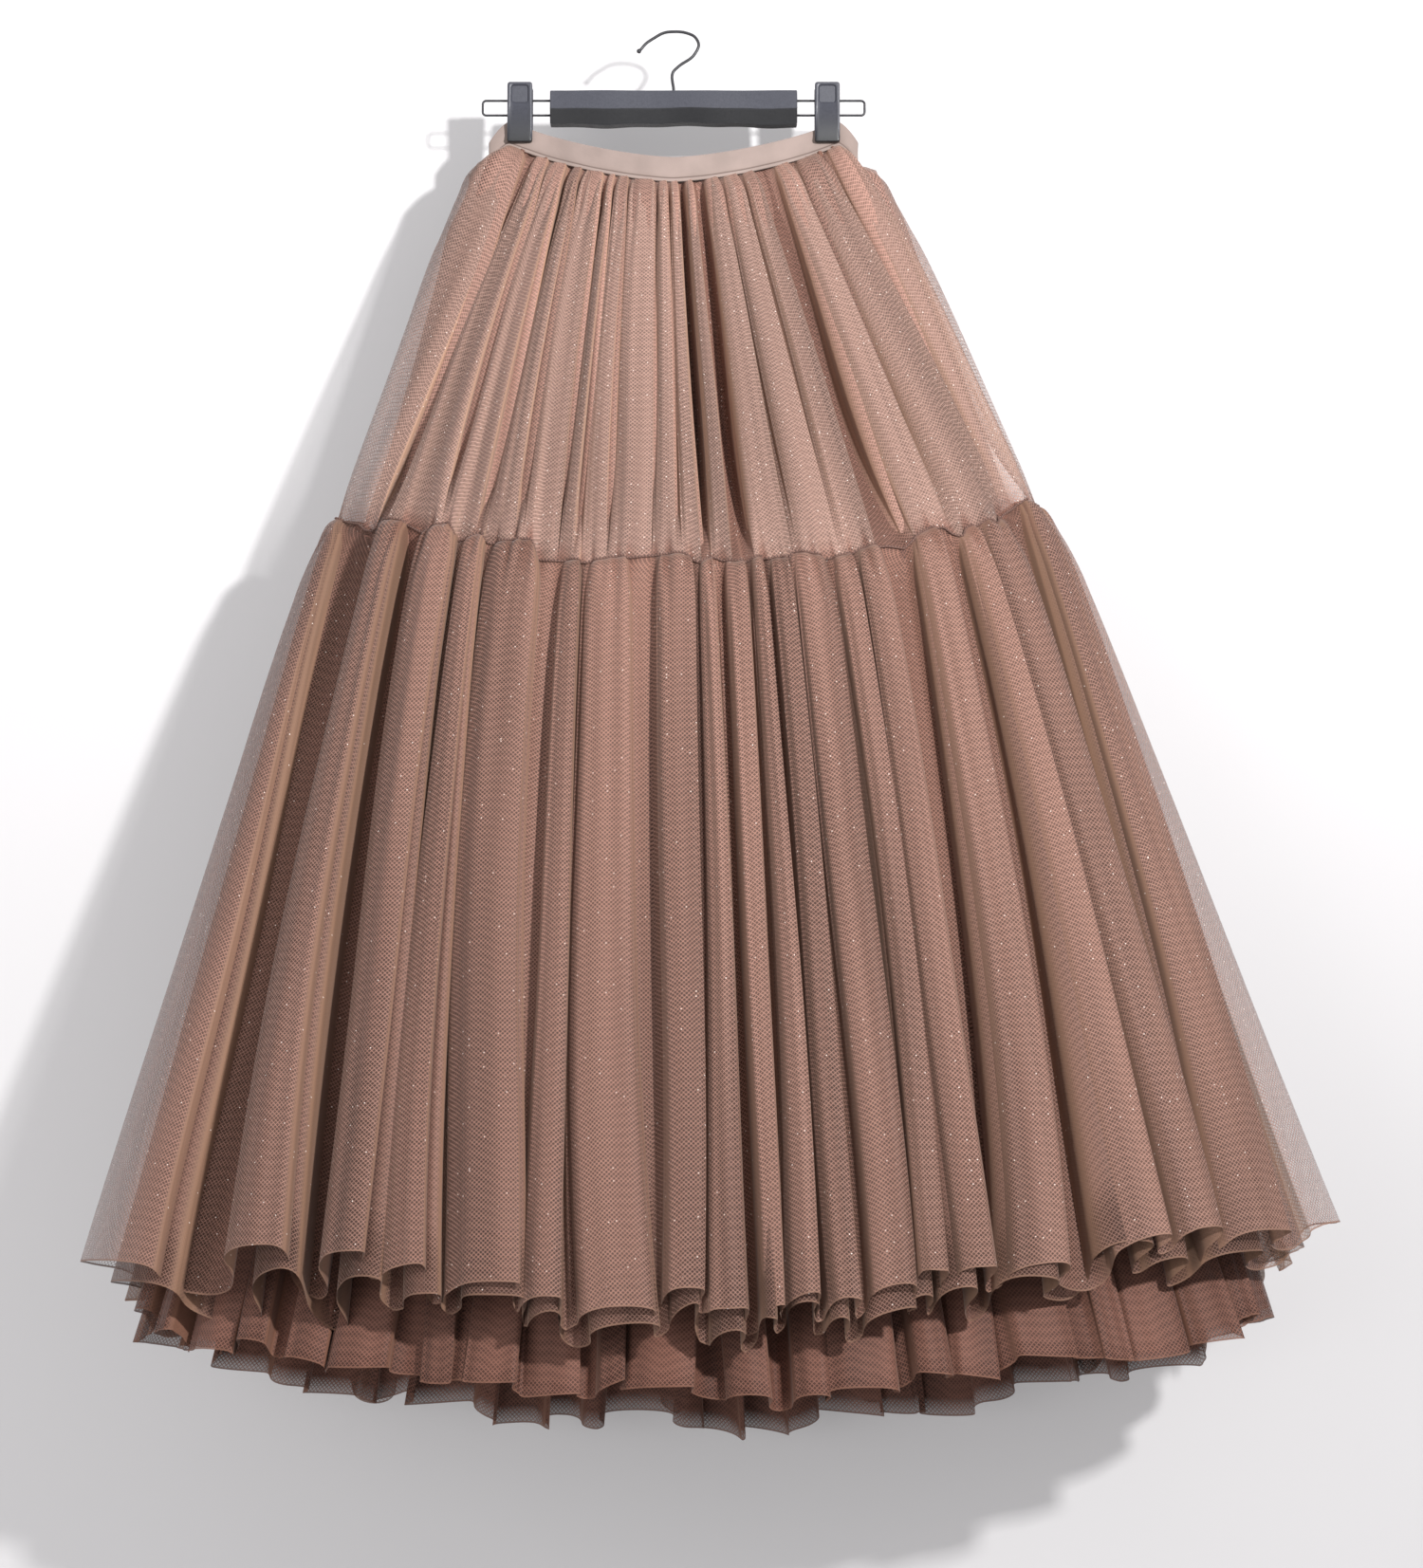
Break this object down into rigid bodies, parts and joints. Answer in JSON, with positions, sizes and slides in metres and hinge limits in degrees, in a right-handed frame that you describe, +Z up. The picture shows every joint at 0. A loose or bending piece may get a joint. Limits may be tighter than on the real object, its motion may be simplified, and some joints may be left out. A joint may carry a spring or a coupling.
{
  "type": "tulle maxi skirt on a clip hanger",
  "caption": "Blush-brown tulle maxi skirt in two gathered tiers over a longer net layer, hanging from a dark clip hanger with a wire hook.",
  "frame": {"origin": "Inside of the hook's bend, where a rail or nail carries the hanger.", "axes": "+Z up, -Y out of the front of the skirt, +X to the right of someone facing it."},
  "size_m": [1.0013, 0.4602, 1.2043],
  "materials": {
    "tulle": "fine polyester net, several plies, soft sheen",
    "band_cloth": "matte woven casing over elastic",
    "hanger_plastic": "moulded, fine grain",
    "hanger_wire": "dark plated wire"
  },
  "bodies": {
    "root": {"waistband": "band_cloth", "upper_tier_front": "tulle", "upper_tier_back": "tulle", "lower_tier_front": "tulle", "lower_tier_back": "tulle", "under_net_front": "tulle", "under_net_back": "tulle", "hanger_hook": "hanger_wire", "hanger_bar": "hanger_plastic", "hanger_wire_left": "hanger_wire", "hanger_wire_right": "hanger_wire", "clip_left_front": "hanger_plastic", "clip_left_back": "hanger_plastic", "clip_left_block": "hanger_plastic", "clip_right_front": "hanger_plastic", "clip_right_back": "hanger_plastic", "clip_right_block": "hanger_plastic"}
  },
  "joints": []
}
